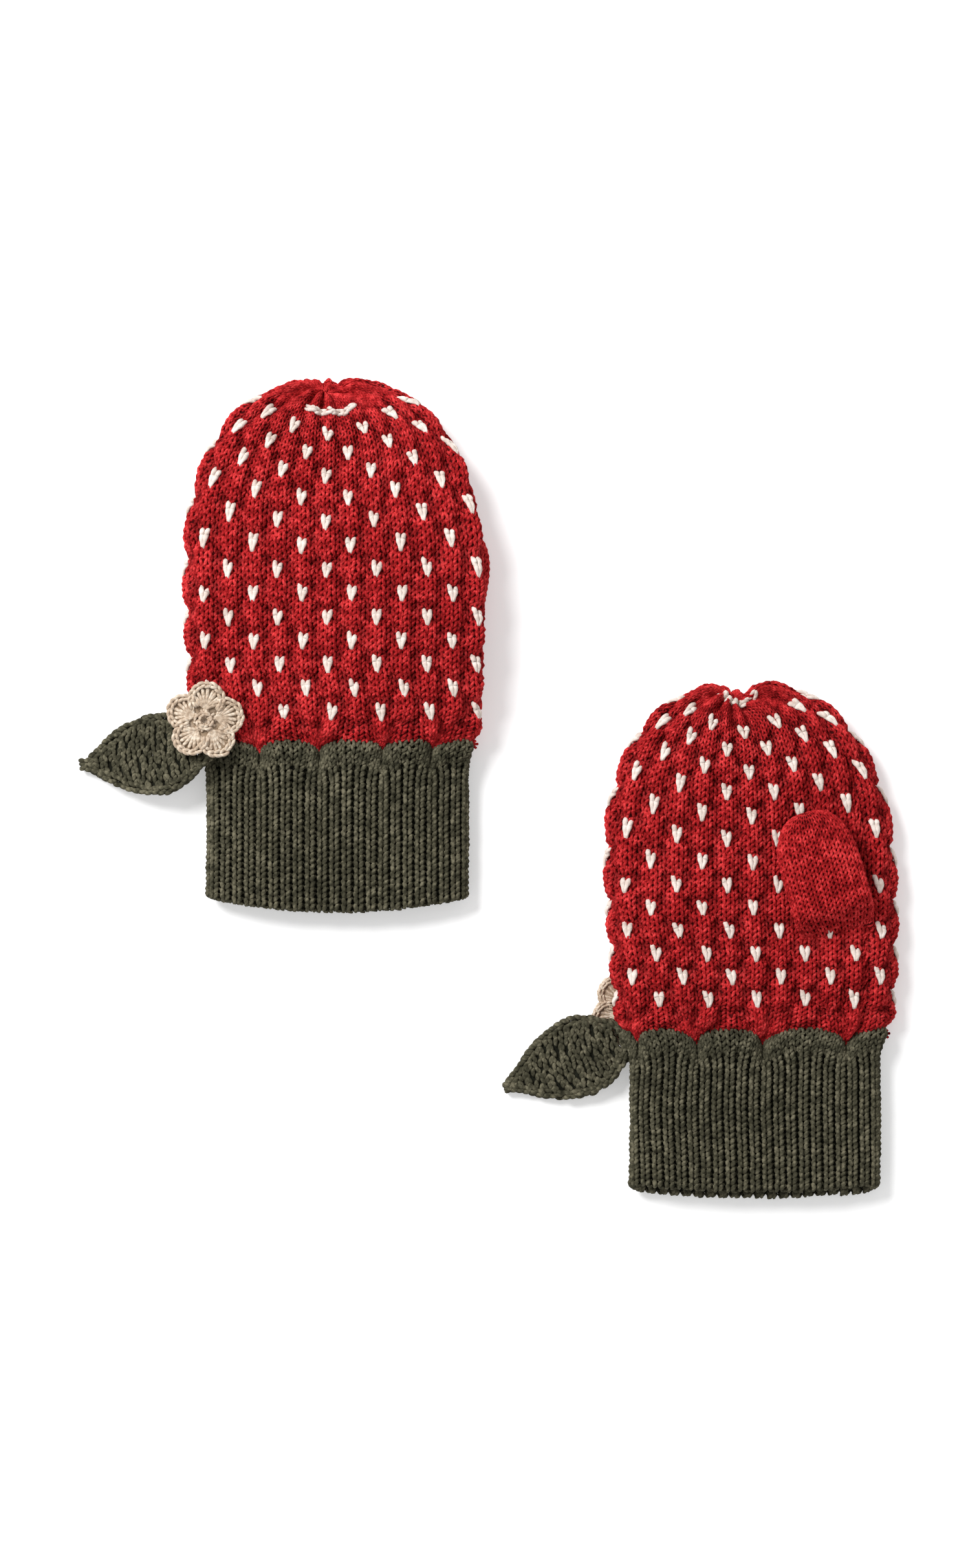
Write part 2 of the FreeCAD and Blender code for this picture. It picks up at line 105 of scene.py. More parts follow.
# Places are from the middle of the cuff's join. under and over are the lift's (zero, full)
# ramps in x, y and y again. pole is how far the gather is off the tip of the CAD surface,
# dips are turns round the tube, and cream_round is (mm from the gather, half its turns).
LEFT = SimpleNamespace(
    name="left", seed=11, up=1, centre=np.array([-43.49, 10.9, 0.0]),
    hand_length=105.2, hand_half_width=42.0, tip_shift=-1.2, pole=(-1.1, 3.9), notch=0.0,
    cuff_length=46.4, cuff_half_width=37.8, hem_sag=4.0, hem_step=0.0,
    lift=8.0, under=((-12.0, 9.0), (6.0, 27.0), (92.0, 69.0)),
    over=((-36.0, 26.0), (-22.0, 40.0), (110.0, 56.0)),
    seam_turn=-0.012, wales=76, ribs=46, body_row=1.66, scallop_height=4.2,
    dips=(-0.02, 0.086, 0.171, 0.283, 0.389, 0.495, 0.60, 0.70, 0.80, 0.89, 0.98, 1.086),
    heart_phase=(2.6, 5.8), first_heart=2.5, bare_tip=13.0, cream_round=(10.3, 0.080),
    thumb=(30.5, 38.6, 0.0), thumb_lean=-10.0, thumb_size=(11.2, 25.3),
    flower_x=-37.2, flower_z=14.6, flower_turn=13.0, settle=0.6, droop=1.6,
    leaf_x=-37.0, leaf_z=12.5, leaf_turn=188.2,
)
RIGHT = SimpleNamespace(
    name="right", seed=23, up=-1, centre=np.array([75.41, -71.5, 0.0]),
    hand_length=100.8, hand_half_width=40.4, tip_shift=-2.6, pole=(-2.0, 3.5), notch=2.4,
    cuff_length=45.6, cuff_half_width=36.2, hem_sag=2.0, hem_step=2.0,
    lift=5.2, under=((-6.0, -27.0), (-22.0, -6.0), (38.0, 20.0)),
    over=((8.0, -30.0), (-42.0, -4.0), (62.0, 18.0)),
    seam_turn=0.062, wales=72, ribs=44, body_row=1.62, scallop_height=5.6,
    dips=(-0.04, 0.078, 0.234, 0.355, 0.47, 0.57, 0.67, 0.77, 0.87, 0.96, 1.078),
    heart_phase=(1.3, 6.6), first_heart=4.5, bare_tip=7.5, cream_round=(3.4, 0.19),
    thumb=(21.2, 38.6, PALM_Z), thumb_lean=16.5, thumb_size=(11.7, 27.0),
    flower_x=-35.5, flower_z=2.7, flower_turn=13.0, settle=0.0, droop=0.0,
    leaf_x=-36.4, leaf_z=5.2, leaf_turn=203.1,
)


# ---------------- surface of the CAD tube
def ramp(value, zero, full):
    share = np.clip((value - zero) / (full - zero), 0.0, 1.0)
    return share * share * (3.0 - 2.0 * share)


def rise(box, x, y):
    return ramp(x, *box[0]) * ramp(y, *box[1]) * ramp(y, *box[2])


def closing(m, y, power):
    share = np.clip((y / m.hand_length - TIP_START) / (1.0 - TIP_START), 0.0, 1.0)
    return (1.0 - share ** power) ** (1.0 / TIP_POWER)


def half_width(m, y):
    below = np.maximum(0.0, 1.0 - y / (TIP_START * m.hand_length))
    hand = m.hand_half_width * (1.0 - JOIN_TAPER * below ** 2) * closing(m, y, TIP_POWER)
    return m.cuff_half_width + (hand - m.cuff_half_width) * ramp(y, -JOIN_BLEND / 2, JOIN_BLEND / 2)


def hand_share(y):
    return ramp(y, -JOIN_BLEND, 3 * JOIN_BLEND)


def half_thickness(m, y):
    flat = CUFF_HALF_THICKNESS + (HAND_HALF_THICKNESS - CUFF_HALF_THICKNESS) * hand_share(y)
    return flat * closing(m, y, 2 * TIP_POWER)


def middle_z(m, x, y, level):
    resting = CUFF_HALF_THICKNESS + (HAND_HALF_THICKNESS - CUFF_HALF_THICKNESS) * hand_share(y)
    under, over = rise(m.under, x, y), rise(m.over, x, y)
    share = under + (over - under) * ramp(level, -1.0, 1.0)
    return resting - FLATTENED + m.lift * share


def tube_points(m, y, angle):
    """Points of the tube's outer face, for arrays of y and of the angle round the section."""
    cos, sin = np.cos(angle), np.sin(angle)
    wide = np.sign(cos) * np.abs(cos) ** (2.0 / SECTION_POWER)
    level = np.sign(sin) * np.abs(sin) ** (2.0 / SECTION_POWER)
    x = m.tip_shift * ramp(y, 0.0, m.hand_length) + half_width(m, y) * wide
    z = middle_z(m, x, y, level) + half_thickness(m, y) * level
    return np.stack([x, y + 0 * x, z], axis=-1)


def thumb_points(m, s, angle):
    """Points of the thumb's outer face, standing out of the palm at its base."""
    cos, sin = np.cos(angle), np.sin(angle)
    half, tip = m.thumb_size
    share = np.clip((s - THUMB_CLOSING) / (tip - THUMB_CLOSING), 0.0, 1.0)
    wide = half * (1.0 - share ** 2.5) ** 0.4
    wide = wide * (0.9 + 0.1 * ramp(s, THUMB_BASE - 1.0, THUMB_BASE + 5.0))
    thick = THUMB_THICKNESS / 2 * (1.0 - share ** 5) ** 0.4
    thick = thick * (0.25 + 0.75 * ramp(s, THUMB_BASE - 1.5, THUMB_BASE + 7.0) ** 0.7)
    x = wide * np.sign(cos) * np.abs(cos) ** 0.75
    z = thick * np.sign(sin) * np.abs(sin) ** 0.75
    rest = THUMB_THICKNESS / 2 - (THUMB_THICKNESS / 2 - thick) * (1.0 - share) * m.up * -1
    sunk = THUMB_SUNK * (1.0 - ramp(s, THUMB_BASE - 4.0, THUMB_BASE + 9.0))
    z = z + (THUMB_THICKNESS / 2 if m.up > 0 else rest - sunk)
    lean = math.radians(m.thumb_lean)
    tx, ty, tz = m.thumb
    across = tx + x * math.cos(lean) - s * math.sin(lean)
    along = ty + x * math.sin(lean) + s * math.cos(lean)
    return np.stack([across, along, tz + z], axis=-1)


class Cloth:
    """A tube of fabric as a grid over (distance from its start, turn round it)."""

    STEP = 0.5
    TURNS = 360

    def __init__(self, points, straight, closing_places):
        """points(y, angle) gives the face; rows are even in y along straight, and even
        along each wale through closing_places, which end at the closed tip."""
        low = self.even_turns(points, straight)
        tip = self.even_turns(points, closing_places)
        steps = np.linalg.norm(np.diff(tip, axis=0), axis=-1)
        reach = np.vstack([np.zeros(self.TURNS + 1), np.cumsum(steps, axis=0)])
        front = self.TURNS // 4
        self.straight_length = straight[-1] - straight[0]
        tip_length = reach[-1, front]
        shares = np.linspace(0, 1, int(tip_length / self.STEP) + 1)
        even_tip = np.empty((len(shares), self.TURNS + 1, 3))
        for turn in range(self.TURNS + 1):
            for axis in range(3):
                even_tip[:, turn, axis] = np.interp(
                    shares, reach[:, turn] / reach[-1, turn], tip[:, turn, axis]
                )
        self.step_low = self.straight_length / (len(low) - 1)
        self.step_tip = tip_length / (len(shares) - 1)
        self.low_count = len(low) - 1
        self.points = np.vstack([low[:-1], even_tip])
        self.length = self.straight_length + tip_length
        self.pole_shift = None
        along = np.gradient(self.points, axis=0)
        around = np.gradient(self.points, axis=1)
        around[:, 0] = around[:, -1] = (self.points[:, 1] - self.points[:, -2]) / 2
        normal = np.cross(around, along)
        size = np.linalg.norm(normal, axis=-1, keepdims=True)
        normal = normal / np.maximum(size, 1e-9)
        normal[-1] = normal[-2].mean(axis=0)
        self.normals = -normal
        self.girth = np.linalg.norm(np.diff(self.points, axis=1), axis=-1).sum(axis=1)

    def even_turns(self, points, places):
        angle = np.linspace(0, TAU, 1441)
        shares = np.linspace(0, 1, self.TURNS + 1)
        grid = np.empty((len(places), self.TURNS + 1, 3))
        for index, place in enumerate(places):
            ring = points(np.full_like(angle, place), angle)
            length = np.concatenate([[0], np.cumsum(np.linalg.norm(np.diff(ring, axis=0), axis=-1))])
            length = length / max(length[-1], 1e-9) if length[-1] > 1e-6 else angle / TAU
            for axis in range(3):
                grid[index, :, axis] = np.interp(shares, length, ring[:, axis])
        return grid

    def place(self, distance, turn):
        """Grid coordinates of fabric points, with the gathered pole moved on to the face."""
        if self.pole_shift:
            radius = np.maximum(self.length - distance, 0.0)
            reach = GATHER_REACH
            share = np.clip(1.0 - radius / reach, 0.0, 1.0) ** 1.5
            px = radius * np.cos(TAU * turn) + self.pole_shift[0] * share
            py = radius * np.sin(TAU * turn) + self.pole_shift[1] * share
            moved = np.hypot(px, py)
            near = radius < reach
            distance = np.where(near, self.length - moved, distance)
            turn = np.where(near, np.arctan2(py, px) / TAU, turn)
        row = np.clip(self.grid_row(distance), 0, len(self.points) - 1.001)
        return row, np.mod(turn, 1.0) * self.TURNS

    def grid_row(self, distance):
        row_low = distance / self.step_low
        row_tip = self.low_count + (distance - self.straight_length) / self.step_tip
        return np.where(distance < self.straight_length, row_low, row_tip)

    def sample(self, distance, turn):
        """Positions and outward normals of fabric points."""
        row, col = self.place(distance, turn)
        r0, c0 = row.astype(int), np.minimum(col.astype(int), self.TURNS - 1)
        fr, fc = (row - r0)[..., None], (col - c0)[..., None]
        out = []
        for grid in (self.points, self.normals):
            low = grid[r0, c0] * (1 - fc) + grid[r0, c0 + 1] * fc
            high = grid[r0 + 1, c0] * (1 - fc) + grid[r0 + 1, c0 + 1] * fc
            out.append(low * (1 - fr) + high * fr)
        out[1] = out[1] / np.maximum(np.linalg.norm(out[1], axis=-1, keepdims=True), 1e-9)
        return out

    def girth_at(self, distance):
        row = np.clip(self.grid_row(distance), 0, len(self.girth) - 1)
        return np.interp(row, np.arange(len(self.girth)), self.girth)


# ---------------- meshes
def sweep(centres, normals, radius, sides, flat=1.0, plies=0.0):
    """Tubes along centres (strands, points, 3); radius is one number or (strands, points).
    plies is the depth of the groove between two plies twisted round each other."""
    tangent = np.gradient(centres, axis=1)
    tangent /= np.maximum(np.linalg.norm(tangent, axis=-1, keepdims=True), 1e-9)
    side = np.cross(tangent, normals)
    side /= np.maximum(np.linalg.norm(side, axis=-1, keepdims=True), 1e-9)
    up = np.cross(side, tangent)
    angle = TAU * np.arange(sides) / sides
    radius = np.broadcast_to(np.asarray(radius, float), centres.shape[:2])[..., None, None]
    ring = side[:, :, None] * np.cos(angle)[:, None] + up[:, :, None] * (flat * np.sin(angle))[:, None]
    strands, count = centres.shape[:2]
    steps = np.linalg.norm(np.diff(centres, axis=1), axis=-1)
    length = np.concatenate([np.zeros((strands, 1)), np.cumsum(steps, axis=1)], axis=1)
    if plies:
        groove = np.cos(2.0 * (angle + TAU * 0.17 * length[..., None]))
        ring = ring * (1.0 + plies * groove)[..., None]
    verts = centres[:, :, None] + radius * ring
    index = np.arange(strands * count * sides).reshape(strands, count, sides)
    ahead = np.roll(index, -1, axis=2)
    quads = np.stack([index[:, :-1], ahead[:, :-1], ahead[:, 1:], index[:, 1:]], axis=-1)
    corner_u = np.stack(
        [np.broadcast_to(length[:, :-1, None], quads.shape[:3])] * 2
        + [np.broadcast_to(length[:, 1:, None], quads.shape[:3])] * 2, axis=-1)
    turn = np.arange(sides) / sides
    corner_v = np.broadcast_to(
        np.stack([turn, turn + 1 / sides, turn + 1 / sides, turn], axis=-1), quads.shape)
    uv = np.stack([corner_u, corner_v], axis=-1)
    return verts.reshape(-1, 3), quads.reshape(-1, 4), uv.reshape(-1, 4, 2)


def grid_faces(rows, cols, wrap):
    index = np.arange(rows * cols).reshape(rows, cols)
    across = np.roll(index, -1, axis=1) if wrap else index[:, 1:]
    here = index if wrap else index[:, :-1]
    return np.stack([here[:-1], across[:-1], across[1:], here[1:]], axis=-1).reshape(-1, 4)


def make_mesh(name, parts, material, body, painted_shade=None):
    """One piece from (verts, quads, uv) parts, with a UV map that follows the yarn and, if given, a
    per-point painted shade that darkens the colour.
    """
    verts, quads, uvs, first = [], [], [], 0
    for part_verts, part_quads, part_uv in parts:
        verts.append(part_verts)
        quads.append(part_quads + first)
        uvs.append(part_uv)
        first += len(part_verts)
    verts = np.concatenate(verts)
    quads = np.concatenate(quads)
    uvs = np.concatenate(uvs)
    z = verts[:, 2]
    verts[:, 2] = np.where(z < FLOOR_CLEAR, FLOOR_CLEAR * np.exp((z - FLOOR_CLEAR) / FLOOR_CLEAR), z)
    mesh = bpy.data.meshes.new(name)
    mesh.vertices.add(len(verts))
    mesh.vertices.foreach_set("co", (verts * MM).astype(np.float32).ravel())
    mesh.loops.add(len(quads) * 4)
    mesh.loops.foreach_set("vertex_index", quads.astype(np.int32).ravel())
    mesh.polygons.add(len(quads))
    mesh.polygons.foreach_set("loop_start", np.arange(0, len(quads) * 4, 4, dtype=np.int32))
    mesh.polygons.foreach_set("loop_total", np.full(len(quads), 4, dtype=np.int32))
    mesh.polygons.foreach_set("use_smooth", np.ones(len(quads), dtype=bool))
    layer = mesh.uv_layers.new(name="yarn")
    layer.data.foreach_set("uv", uvs.astype(np.float32).ravel())
    cells(mesh, len(quads))
    # painted shade: a per-point share by which the material darkens the colour
    if painted_shade is not None:
        shade = mesh.attributes.new("painted_shade", "FLOAT", "POINT")
        shade.data.foreach_set("value", painted_shade.astype(np.float32).ravel())
    mesh.update(calc_edges=True)
    mesh.materials.append(material)
    piece = bpy.data.objects.new(name, mesh)
    bpy.context.scene.collection.objects.link(piece)
    if body:
        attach(piece, body)
    return piece


def cells(mesh, count):
    """A second UV map that gives each face its own cell of the unit square."""
    across = math.ceil(math.sqrt(count))
    index = np.arange(count)
    low_u, low_v = (index % across) / across, (index // across) / across
    pad = 0.12 / across
    wide = 1.0 / across - 2 * pad
    u = low_u[:, None] + pad + wide * np.array([0, 0, 1, 1])
    v = low_v[:, None] + pad + wide * np.array([0, 1, 1, 0])
    layer = mesh.uv_layers.new(name="OFBake")
    layer.data.foreach_set("uv", np.stack([u, v], axis=-1).astype(np.float32).ravel())


# ---------------- materials
def set_inputs(node, values):
    for socket, value in values.items():
        node.inputs[socket].default_value = value


def yarn_material(name, dark, middle, light, ply=0.9, sheen=0.05, rough=0.9):
    """Wool yarn: two twisted plies with painted shade in the grooves between them, heathered colour, a
    soft fuzz of fibres, and painted shade from the mesh's shade attribute.
    """
    material = bpy.data.materials.new(name)
    material.use_nodes = True
    nodes, links = material.node_tree.nodes, material.node_tree.links
    shader = nodes["Principled BSDF"]
    set_inputs(shader, {
        "Roughness": rough, "Sheen Weight": sheen, "Sheen Roughness": 0.5,
        "Sheen Tint": (*light, 1), "Specular IOR Level": 0.06})

    def calculate(operation, *inputs):
        """A maths node; each input is a number or another node's output."""
        node = nodes.new("ShaderNodeMath")
        node.operation = operation
        for socket, value in zip(node.inputs, inputs):
            if isinstance(value, float):
                socket.default_value = value
            else:
                links.new(value, socket)
        return node.outputs[0]

    def noise(scale, detail):
        node = nodes.new("ShaderNodeTexNoise")
        set_inputs(node, {"Scale": scale, "Detail": detail})
        links.new(place.outputs["Object"], node.inputs["Vector"])
        return node.outputs["Fac"]

    uv = nodes.new("ShaderNodeUVMap")
    uv.uv_map = "yarn"
    split = nodes.new("ShaderNodeSeparateXYZ")
    links.new(uv.outputs["UV"], split.inputs[0])
    around = calculate("MULTIPLY", split.outputs["Y"], TAU * 2)
    wave = calculate("SINE", calculate("MULTIPLY_ADD", split.outputs["X"], TAU * ply, around))
    place = nodes.new("ShaderNodeTexCoord")
    fibres, heather, patches = noise(2600.0, 3.0), noise(420.0, 4.0), noise(60.0, 2.0)
    # the ply twist darkens the colour a little in the grooves between the plies, as painted shade; the
    # noises add random heathered tone
    tone_and_groove_shade = calculate("MULTIPLY_ADD", wave, 0.07, heather)
    tone_and_groove_shade = calculate("MULTIPLY_ADD", fibres, 0.35, tone_and_groove_shade)
    tone_and_groove_shade = calculate("MULTIPLY_ADD", patches, 0.25, tone_and_groove_shade)
    colours = nodes.new("ShaderNodeValToRGB")
    stops = colours.color_ramp.elements
    stops[0].position, stops[0].color = 0.50, (*dark, 1)
    stops[1].position, stops[1].color = 1.10, (*light, 1)
    middle_stop = stops.new(0.80)
    middle_stop.color = (*middle, 1)
    links.new(tone_and_groove_shade, colours.inputs[0])

    # painted shade: the colour is darkened by the mesh's per-point shade attribute
    shade_attribute = nodes.new("ShaderNodeAttribute")
    shade_attribute.attribute_name = "painted_shade"
    shaded = nodes.new("ShaderNodeVectorMath")
    shaded.operation = "SCALE"
    links.new(colours.outputs[0], shaded.inputs[0])
    links.new(
        calculate("MULTIPLY_ADD", shade_attribute.outputs["Fac"], -HOLLOW_SHADE, 1.0),
        shaded.inputs["Scale"])
    links.new(shaded.outputs[0], shader.inputs["Base Color"])

    bump = nodes.new("ShaderNodeBump")
    set_inputs(bump, {"Strength": 0.55, "Distance": 0.00022})
    links.new(calculate("MULTIPLY_ADD", wave, 0.35, fibres), bump.inputs["Height"])
    links.new(bump.outputs[0], shader.inputs["Normal"])
    return material


RED = yarn_material(
    "red_wool", (0.105, 0.002, 0.003), (0.405, 0.016, 0.018), (0.70, 0.050, 0.052))
# painted shade: a dark copy of the red, for the sheets under the stitches
SHADED_RED = yarn_material(
    "red_wool_painted_shade", (0.03, 0.002, 0.002), (0.06, 0.004, 0.005), (0.10, 0.007, 0.008))
GREEN = yarn_material(
    "green_wool", (0.022, 0.021, 0.013), (0.072, 0.067, 0.043), (0.165, 0.150, 0.100))
# painted shade: a dark copy of the green, for the sheets under the stitches
SHADED_GREEN = yarn_material(
    "green_wool_painted_shade", (0.006, 0.006, 0.004), (0.012, 0.012, 0.008), (0.02, 0.02, 0.014))
CREAM = yarn_material(
    "cream_wool", (0.52, 0.42, 0.36), (0.70, 0.60, 0.54), (0.82, 0.74, 0.68), ply=0.5)
# painted shade: a dark copy of the beige, for the sheets under the flower's stitches
SHADED_BEIGE = yarn_material(
    "beige_cotton_painted_shade", (0.20, 0.13, 0.08), (0.34, 0.25, 0.17), (0.46, 0.36, 0.27))
BEIGE = yarn_material(
    "beige_cotton", (0.36, 0.26, 0.18), (0.56, 0.44, 0.33), (0.74, 0.64, 0.52), ply=0.8)


# ---------------- knitting
def knit_row(t, sway=0.25, reach=0.82):
    """The loop of one plain stitch: across and up in stitches, and out of the fabric."""
    x = t / TAU + sway * np.sin(2 * t)
    y = -reach * np.cos(t)
    z = -np.cos(2 * t)
    return x, y, z


def bubble(m, wale, row):
    """Puffs of the fabric between the hearts, with valleys from heart to heart."""
    x = (wale - m.heart_phase[0]) / HEART_WALES
    y = (row - m.heart_phase[1] - 1.6) / HEART_ROWS
    p, q = np.abs(np.sin(math.pi * (x + y))), np.abs(np.sin(math.pi * (x - y)))
    return (p * q) ** 0.55


def from_heart(m, wale, row):
    """Wales and rows from the middle of the nearest heart."""
    x = (wale - m.heart_phase[0]) / HEART_WALES
    y = (row - m.heart_phase[1] - 1.3) / HEART_ROWS
    first = (x - np.round(x), y - np.round(y))
    second = (x - 0.5 - np.round(x - 0.5), y - 0.5 - np.round(y - 0.5))
    nearer = first[0] ** 2 + first[1] ** 2 < second[0] ** 2 + second[1] ** 2
    across = np.where(nearer, first[0], second[0]) * HEART_WALES
    along = np.where(nearer, first[1], second[1]) * HEART_ROWS
    return across, along


def painted_shade(m, wale, row):
    """Painted shade for the fabric's relief: 0 on the puffs, 1 in the hollows beside the hearts and
    along the valleys, where the colour is darkened.
    """
    across, along = from_heart(m, wale, row)
    beside = np.exp(-(((np.abs(across) - 1.35) / 0.62) ** 2) - ((along - 0.9) / 1.3) ** 2)
    valley = (1.0 - bubble(m, wale, row)) ** 1.3
    depth = (0.9 * beside + 0.28 * valley) * ramp(row, 0.0, 4.0) * ramp(m.rows - row, 2.0, 8.0)
    return np.clip(depth, 0.0, 1.0)


def heart_places(m, rows):
    """(wale, row) of the point of each heart."""
    places = []
    for step in range(-2, int(2 * rows / HEART_ROWS) + 3):
        row = m.heart_phase[1] + step * HEART_ROWS / 2
        offset = m.heart_phase[0] + (HEART_WALES / 2 if step % 2 else 0)
        for repeat in range(-2, int(m.wales / HEART_WALES) + 2):
            wale = offset + repeat * HEART_WALES
            if 0.2 <= wale <= m.wales - 0.2 and m.first_heart <= row <= rows - 3.0:
                places.append((wale, row))
    return np.array(places)


def hand_cloth(m):
    start = -m.cuff_length - 3.0
    closing_from = TIP_START * m.hand_length
    straight = np.linspace(start, closing_from, 140)
    turn = np.linspace(0, math.pi / 2, 160)
    places = closing_from + (m.hand_length - closing_from) * np.sin(turn)
    cloth = Cloth(lambda y, a: tube_points(m, y, a), straight, places)
    cloth.start = start
    cloth.pole_shift = m.pole
    return cloth


def scallop(m, turn):
    """Share of the scallops' height, 0 at each dip of the cuff's upper edge."""
    count = np.interp(np.mod(turn, 1.0), m.dips, np.arange(len(m.dips)))
    return np.abs(np.sin(math.pi * count)) ** 0.7


def pinch(m, turn):
    """How far the stitches are drawn round towards the nearest dip."""
    count = np.interp(np.mod(turn, 1.0), m.dips, np.arange(len(m.dips)))
    return -0.011 * np.sin(TAU * count)


def hand_point(m, wale, row, out):
    """A point of the hand's fabric: out is along the surface's normal."""
    turn = m.seam_turn + wale / m.wales
    distance = -m.cloth.start + (row - 0.7) * m.row_height
    edge = m.scallop_height * (scallop(m, turn) - 0.5)
    near_join = np.clip(1.0 - row / 7.0, 0.0, 1.0)
    distance = distance + edge * near_join
    turn = turn + pinch(m, turn) * near_join
    point, normal = m.cloth.sample(distance, turn)
    from_pole = np.maximum(m.cloth.length - distance, 0.0)
    across, along = from_heart(m, wale, row)
    heart = np.exp(-((across / 0.9) ** 2) - (along / 1.9) ** 2)
    dents = np.exp(-(((np.abs(across) - 1.45) / 0.55) ** 2) - ((along - 0.9) / 1.1) ** 2)
    puff = BUBBLE_HEIGHT * bubble(m, wale, row) + HEART_RISE * heart - DENT_DEPTH * dents
    puff = puff * ramp(row, -1.0, 3.5) * ramp(from_pole, 4.0, 20.0)
    puff = puff * (1.0 - 0.75 * under_thumb(m, point))
    turns = 13 * turn + 0.35 * np.sin(TAU * 3 * turn + 1.0)
    folds = 1.7 * np.cos(TAU * turns) * np.exp(-(((from_pole - 7.5) / 6.5) ** 2))
    dimple = -2.6 * np.exp(-((from_pole / 3.2) ** 2))
    seam_away = np.abs(np.mod(wale + m.wales / 2, m.wales) - m.wales / 2) * 2.35
    seam = -0.9 * np.exp(-((seam_away / 1.3) ** 2)) * ramp(from_pole, 10.0, 25.0)
    pulled = -2.4 * (1.0 - scallop(m, turn)) ** 2 * np.clip(1.0 - row / 3.0, 0.0, 1.0)
    height = puff + folds + dimple + seam + pulled - BODY_SINK
    away = point[..., 0] - m.tip_shift - m.pole[0]
    lobes = m.notch * (0.45 - np.exp(-((away / 5.5) ** 2))) * np.exp(-((away / 24.0) ** 2))
    point = point + np.stack([0 * away, lobes * ramp(from_pole, 22.0, 3.0), 0 * away], axis=-1)
    scale = np.clip(m.cloth.girth_at(distance) / m.wales / WALE, 0.0, 1.0)
    scale = np.maximum(scale, 0.62) * ramp(from_pole, -3.0, 5.0)
    return point + normal * (height + out * scale)[..., None], normal, scale


def under_thumb(m, point):
    """1 on the palm where the thumb lies against it, falling to 0 round it."""
    lean = math.radians(m.thumb_lean)
    middle_x = m.thumb[0] - 8.0 * math.sin(lean)
    middle_y = m.thumb[1] + 8.0 * math.cos(lean)
    away = np.hypot((point[..., 0] - middle_x) / 16.0, (point[..., 1] - middle_y) / 24.0)
    on_palm = (point[..., 2] < 9.0) if m.up > 0 else (point[..., 2] > 8.0)
    return (1.0 - ramp(away, 0.75, 1.35)) * on_palm


def row_bands(rows, stitches, steps, sides):
    """Groups of rows, each small enough for one piece."""
    band = max(1, int(MOST_TRIANGLES / (2 * stitches * steps * sides)))
    count = math.ceil(rows / band)
    band = math.ceil(rows / count)
    return [np.arange(first, min(first + band, rows)) for first in range(0, rows, band)]


def knit_hand(m, body):
    """The red fabric, one strand of yarn to a row."""
    rng = np.random.default_rng(m.seed)
    length = m.cloth.length + m.cloth.start
    rows = round(length / m.body_row)
    m.rows = rows
    m.row_height = (length - 0.6) / (rows - 0.7)
    m.hearts = heart_places(m, rows)
    m.hearts = m.hearts[(rows - 1.3 - m.hearts[:, 1]) * m.row_height > m.bare_tip]
    t = np.linspace(0, TAU * m.wales, STEPS * m.wales + 1)
    x, y, z = knit_row(t)
    stitch = np.clip((t / TAU).astype(int), 0, m.wales - 1)
    jitter = rng.normal(0, 1, (3, rows, m.wales))
    swing = np.sin(t) ** 2
    pieces = []
    for row_ids in row_bands(rows, m.wales, STEPS, SIDES):
        shake = jitter[:, row_ids][:, :, stitch]
        wale = x[None, :] + 0.045 * shake[0] * swing
        row = row_ids[:, None] + 0.5 + y[None, :] + 0.07 * shake[1] * swing
        across, along = from_heart(m, wale, row)
        behind = (np.abs(across) < 0.7) & (np.abs(along) < 1.5)
        out = 0.46 * z[None, :] + 0.10 * shake[2] - 0.5 * behind
        point, normal, scale = hand_point(m, wale, row, out)
        yarn = BODY_YARN * (1.0 + 0.12 * z[None, :]) * scale
        part = sweep(point + m.centre, normal, yarn, SIDES)
        name = "%s_hand_rows_%d" % (m.name, len(pieces) + 1)
        # painted shade in the hollows of the relief, one value to each point of the yarn
        dark = np.repeat(painted_shade(m, wale, row), SIDES)
        pieces.append(make_mesh(name, [part], RED, body, painted_shade=dark))
    return pieces


def knit_hearts(m, body):
    """Each heart is two fat legs of cream yarn that meet in a point below and dive in above."""
    rng = np.random.default_rng(m.seed + 1)
    s = np.linspace(0.0, 1.0, 18)
    count = len(m.hearts)
    lean = rng.normal(0, 0.05, (count, 1))
    distance = -m.cloth.start + (m.hearts[:, 1:] + 1.3) * m.row_height
    narrow = np.clip(m.cloth.girth_at(distance) / m.wales / WALE, 0.5, 1.0)
    parts = []
    for side in (-1, 1):
        # wales count to the left, so the taller left leg is the one at side 1
        tall = (3.00 if side > 0 else 2.65) + rng.normal(0, 0.16, (count, 1))
        spread = 0.40 + rng.normal(0, 0.03, (count, 1))
        across = (side * (0.04 + (spread - 0.04) * s) + lean * s) / narrow
        along = -0.60 + tall * s
        out = 0.25 + 0.60 * np.sin(math.pi * s) ** 0.7 - 0.75 * np.clip((s - 0.6) / 0.4, 0, 1) ** 2
        wale, row = m.hearts[:, :1] + across, m.hearts[:, 1:] + along
        point, normal, scale = hand_point(m, wale, row, np.broadcast_to(out, wale.shape))
        fat = (0.26 + 0.62 * s ** 0.6) * np.sqrt(1.0 - 0.98 * np.clip((s - 0.66) / 0.34, 0, 1) ** 2.4)
        part = sweep(point + m.centre, normal, fat * np.ones_like(scale), 12, flat=0.85, plies=0.13)
        parts.append(part)
    reach, half = m.cream_round
    turn = 0.25 + np.linspace(-half, half, 60)
    row = (m.cloth.length + m.cloth.start - reach) / m.row_height + 0.7
    path = hand_point(m, (turn - m.seam_turn) * m.wales, row + 0 * turn, 0.5 + 0 * turn)[0]
    parts += chain(path + m.centre, np.array([0.0, 0.4, 0.92]), 2.2, 2.6, 0.58, rng, rough=0.12)
    return make_mesh(m.name + "_hearts", parts, CREAM, body)


